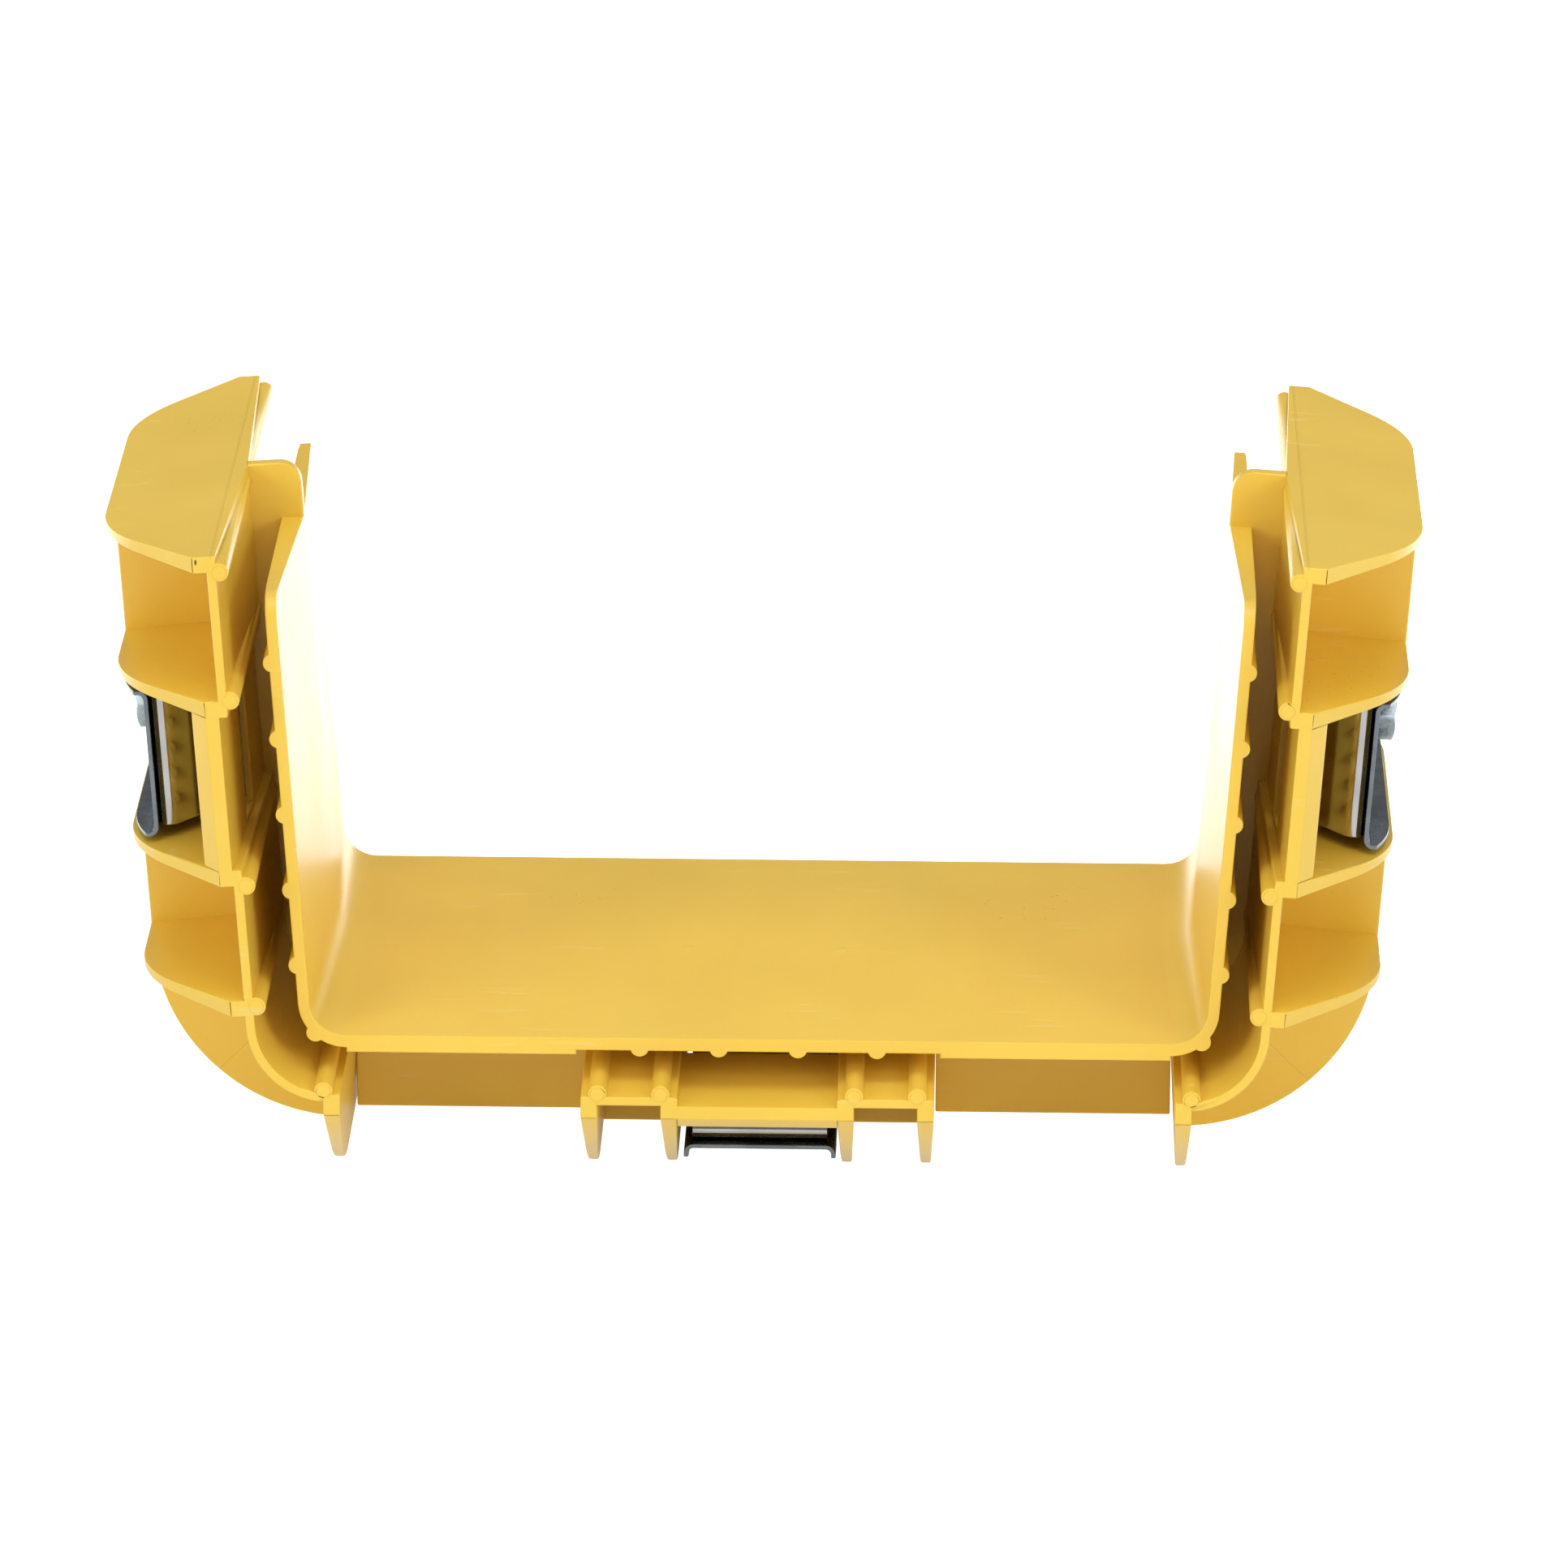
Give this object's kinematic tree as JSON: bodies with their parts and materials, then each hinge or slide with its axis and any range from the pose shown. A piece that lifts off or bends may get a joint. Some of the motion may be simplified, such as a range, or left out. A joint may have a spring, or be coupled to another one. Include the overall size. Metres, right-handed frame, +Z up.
{
  "type": "cable raceway coupler",
  "caption": "U-shaped coupler that joins two cable raceway troughs end to end, with screw clamps on both sides and underneath.",
  "frame": {"origin": "bottom centre of the bounding box, on the plane the feet stand on, midway along the raceway", "axes": "+X across the raceway to the right as seen from the front, +Y along the raceway towards the back, +Z up"},
  "size_m": [0.2112, 0.1046, 0.1101],
  "materials": {
    "yellow_moulding": "satin injection-moulded plastic",
    "zinc_plated_sheet": "bright zinc-plated steel sheet",
    "stainless_sheet": "rolled stainless sheet",
    "zinc_plated_fastener": "zinc-plated, slightly blue"
  },
  "bodies": {
    "moulding": {"inner_tray": "yellow_moulding", "cross_web": "yellow_moulding", "left_upper_shelves": "yellow_moulding", "left_clamp_pocket": "yellow_moulding", "left_lower_shelves": "yellow_moulding", "right_upper_shelves": "yellow_moulding", "right_clamp_pocket": "yellow_moulding", "right_lower_shelves": "yellow_moulding", "base_left_feet": "yellow_moulding", "base_clamp_pocket": "yellow_moulding", "base_right_feet": "yellow_moulding", "left_floor_rib": "yellow_moulding", "right_floor_rib": "yellow_moulding", "left_nut": "zinc_plated_fastener", "right_nut": "zinc_plated_fastener", "base_nut": "zinc_plated_fastener"},
    "left_clamp": {"left_channel": "zinc_plated_sheet", "left_jaw": "stainless_sheet", "left_washer": "zinc_plated_fastener"},
    "left_screw": {"left_bolt": "zinc_plated_fastener"},
    "right_clamp": {"right_channel": "zinc_plated_sheet", "right_jaw": "stainless_sheet", "right_washer": "zinc_plated_fastener"},
    "right_screw": {"right_bolt": "zinc_plated_fastener"},
    "base_clamp": {"base_channel": "zinc_plated_sheet", "base_jaw": "stainless_sheet", "base_washer": "zinc_plated_fastener"},
    "base_screw": {"base_bolt": "zinc_plated_fastener"}
  },
  "joints": [
    {"name": "left_clamp_travel", "type": "slide", "parent": "moulding", "child": "left_clamp", "axis": [0.9976, 0, 0.0698], "range_m": [0, 0.004]},
    {"name": "left_bolt_turn", "type": "hinge", "parent": "left_clamp", "child": "left_screw", "pos_m": [-0.09916, 0, 0.06916], "axis": [0.9976, 0, 0.0698], "range_deg": [0, 1800]},
    {"name": "right_clamp_travel", "type": "slide", "parent": "moulding", "child": "right_clamp", "axis": [-0.9976, 0, 0.0698], "range_m": [0, 0.004]},
    {"name": "right_bolt_turn", "type": "hinge", "parent": "right_clamp", "child": "right_screw", "pos_m": [0.09916, 0, 0.06916], "axis": [-0.9976, 0, 0.0698], "range_deg": [0, 1800]},
    {"name": "base_clamp_travel", "type": "slide", "parent": "moulding", "child": "base_clamp", "axis": [0, 0, 1], "range_m": [0, 0.004]},
    {"name": "base_bolt_turn", "type": "hinge", "parent": "base_clamp", "child": "base_screw", "pos_m": [0, 0, 0.0037], "axis": [0, 0, 1], "range_deg": [0, 1800]}
  ],
  "couplings": [
    {"joint": "left_bolt_turn", "follows": "left_clamp_travel", "rad_per_m": 7854},
    {"joint": "right_bolt_turn", "follows": "right_clamp_travel", "rad_per_m": 7854},
    {"joint": "base_bolt_turn", "follows": "base_clamp_travel", "rad_per_m": 7854}
  ]
}
